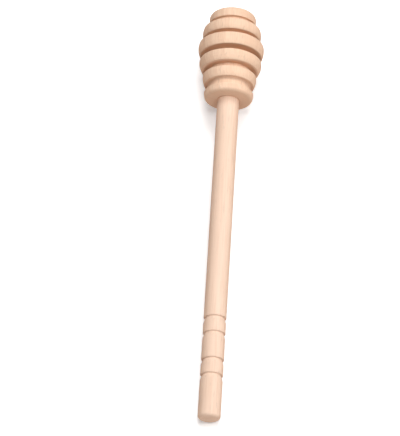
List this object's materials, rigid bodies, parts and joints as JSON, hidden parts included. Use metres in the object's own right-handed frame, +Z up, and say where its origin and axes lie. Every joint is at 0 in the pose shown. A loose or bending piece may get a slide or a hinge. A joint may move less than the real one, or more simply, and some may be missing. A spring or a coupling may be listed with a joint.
{
  "type": "honey dipper",
  "caption": "Turned wooden honey dipper: a grooved barrel-shaped head glued on a slim round handle, for lifting and drizzling honey.",
  "frame": {"origin": "on the table under the middle of the dipper's length, at the bottom centre of its bounding box as it lies at rest", "axes": "+Z is up, +Y runs towards the head, +X is to the right seen from above with the head pointing away; the dipper's own axis lies in the YZ plane and dips 3.192 degrees towards the handle's end"},
  "size_m": [0.024, 0.1598, 0.024],
  "materials": {
    "head_wood": "turned and sanded bare beech, side grain across the rings",
    "handle_wood": "sanded bare beech dowel, grain along its length",
    "cured_glue": "cured clear wood glue, hidden in the joint"
  },
  "bodies": {
    "root": {"head": "head_wood", "handle": "handle_wood", "glue_bond": "cured_glue"}
  },
  "joints": []
}
